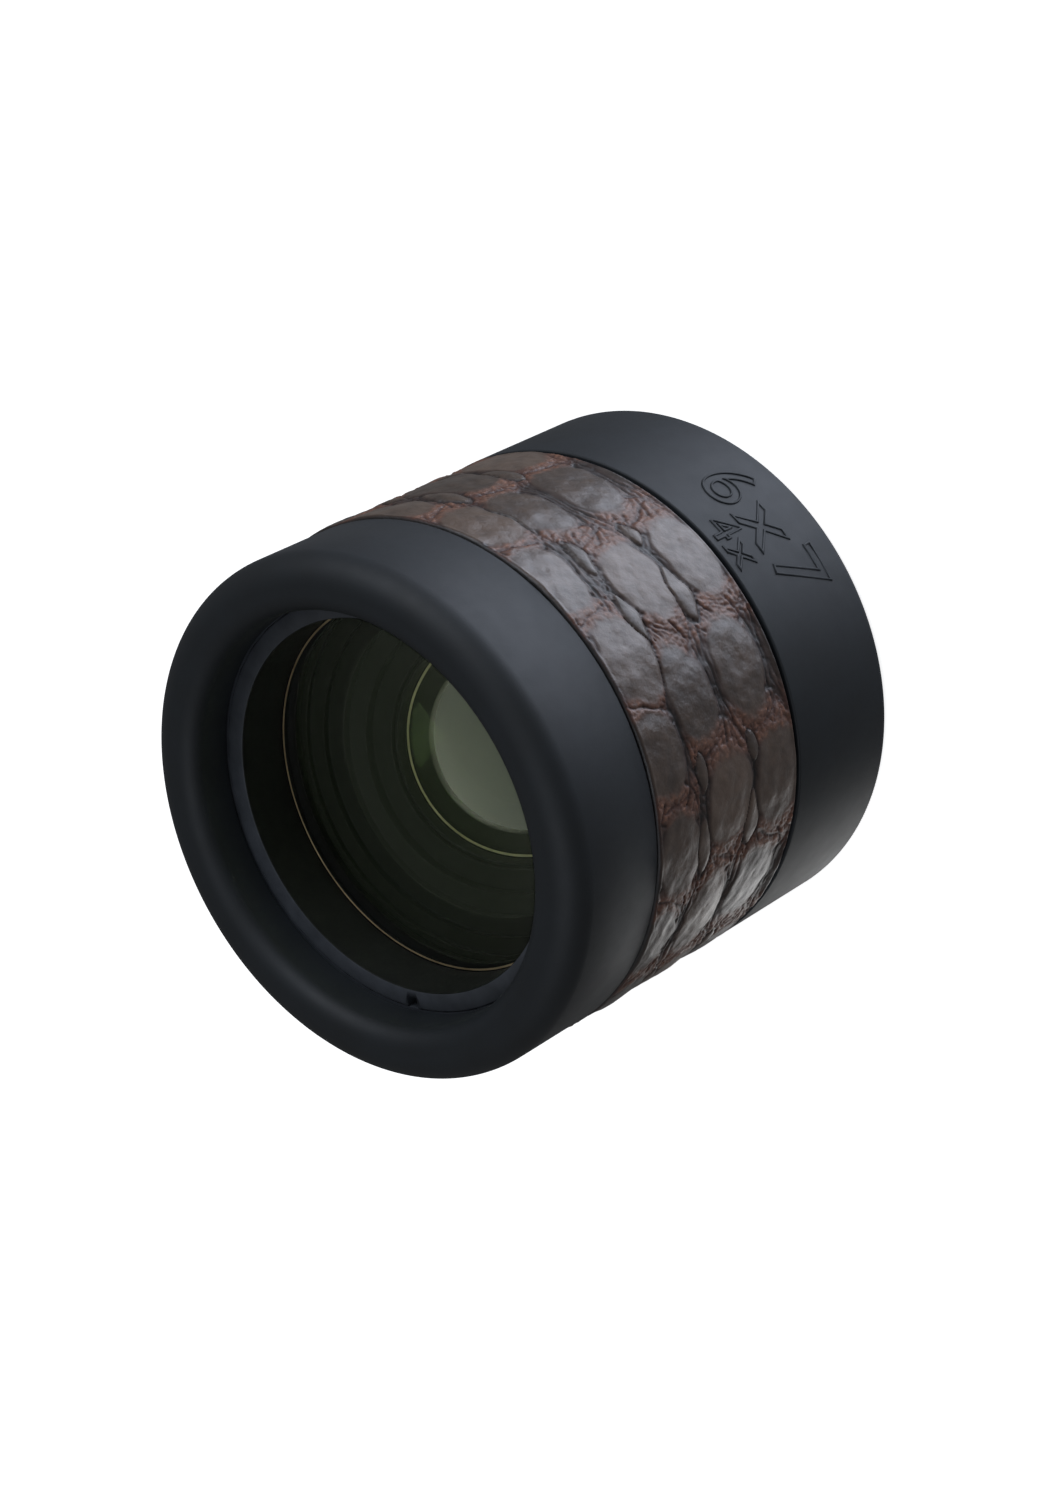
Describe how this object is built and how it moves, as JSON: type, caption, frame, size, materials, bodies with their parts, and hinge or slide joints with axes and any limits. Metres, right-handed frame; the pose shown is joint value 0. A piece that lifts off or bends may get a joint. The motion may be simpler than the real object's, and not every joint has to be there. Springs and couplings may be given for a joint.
{
  "type": "viewing loupe",
  "caption": "Round focusing loupe for slides and ground glass: rubber eyecup, leather-wrapped barrel, glass lens cell and a pull-off open base.",
  "frame": {"origin": "centre of the foot's flat bottom face", "axes": "+Z along the optical axis towards the eyecup; a spanner notch of the eye ring lies towards (-0.87, 0.5)"},
  "size_m": [0.07, 0.07, 0.065],
  "materials": {
    "grip_rubber": "soft-touch satin black",
    "crocodile_leather": "embossed, glazed brown",
    "black_anodised": "black anodised, matt bead-blasted",
    "bare_aluminium": "turned",
    "bright_steel": "machined",
    "brass": "turned",
    "ptfe": "white low-friction washer",
    "matt_black_liner": "flocked matt black",
    "black_nylon": "moulded satin",
    "coated_glass": "polished, anti-reflection coated",
    "seal_rubber": "moulded"
  },
  "bodies": {
    "barrel": {"guide_tube": "black_anodised", "barrel_sleeve": "bare_aluminium", "leather_wrap": "crocodile_leather", "retaining_clip": "bright_steel", "damping_washer": "ptfe", "sleeve_screw_1": "bright_steel", "sleeve_screw_2": "bright_steel", "sleeve_screw_3": "bright_steel"},
    "focus_ring": {"eyecup": "grip_rubber", "focus_core": "bare_aluminium", "cam_tube": "black_anodised", "cam_screw_1": "bright_steel", "cam_screw_2": "bright_steel", "cam_screw_3": "bright_steel"},
    "lens_cell": {"cell_tube": "black_anodised", "eye_retaining_ring": "black_anodised", "eye_lens_front": "coated_glass", "eye_lens_rear": "coated_glass", "spacer_front": "black_anodised", "middle_mount": "black_anodised", "middle_lens": "coated_glass", "middle_retaining_ring": "black_anodised", "spacer_rear": "black_anodised", "field_lens_front": "coated_glass", "field_lens_rear": "coated_glass", "field_retaining_ring": "black_anodised", "cam_follower_1": "brass", "cam_follower_2": "brass", "cam_follower_3": "brass"},
    "base": {"base_ring": "bare_aluminium", "base_o_ring": "seal_rubber", "base_skirt": "matt_black_liner", "base_cover": "grip_rubber", "foot_ring": "black_nylon"}
  },
  "joints": [
    {"name": "focus_turn", "type": "hinge", "parent": "barrel", "child": "focus_ring", "pos_m": [0, 0, 0.05], "axis": [0, 0, 1], "range_deg": [0, 110]},
    {"name": "focus_travel", "type": "slide", "parent": "barrel", "child": "lens_cell", "axis": [0, 0, 1], "range_m": [-0.005, 0]},
    {"name": "barrel_lift", "type": "slide", "parent": "base", "child": "barrel", "axis": [0, 0, 1], "range_m": [0, 0.014]}
  ],
  "couplings": [
    {"joint": "focus_travel", "follows": "focus_turn", "m_per_rad": -0.002604}
  ]
}
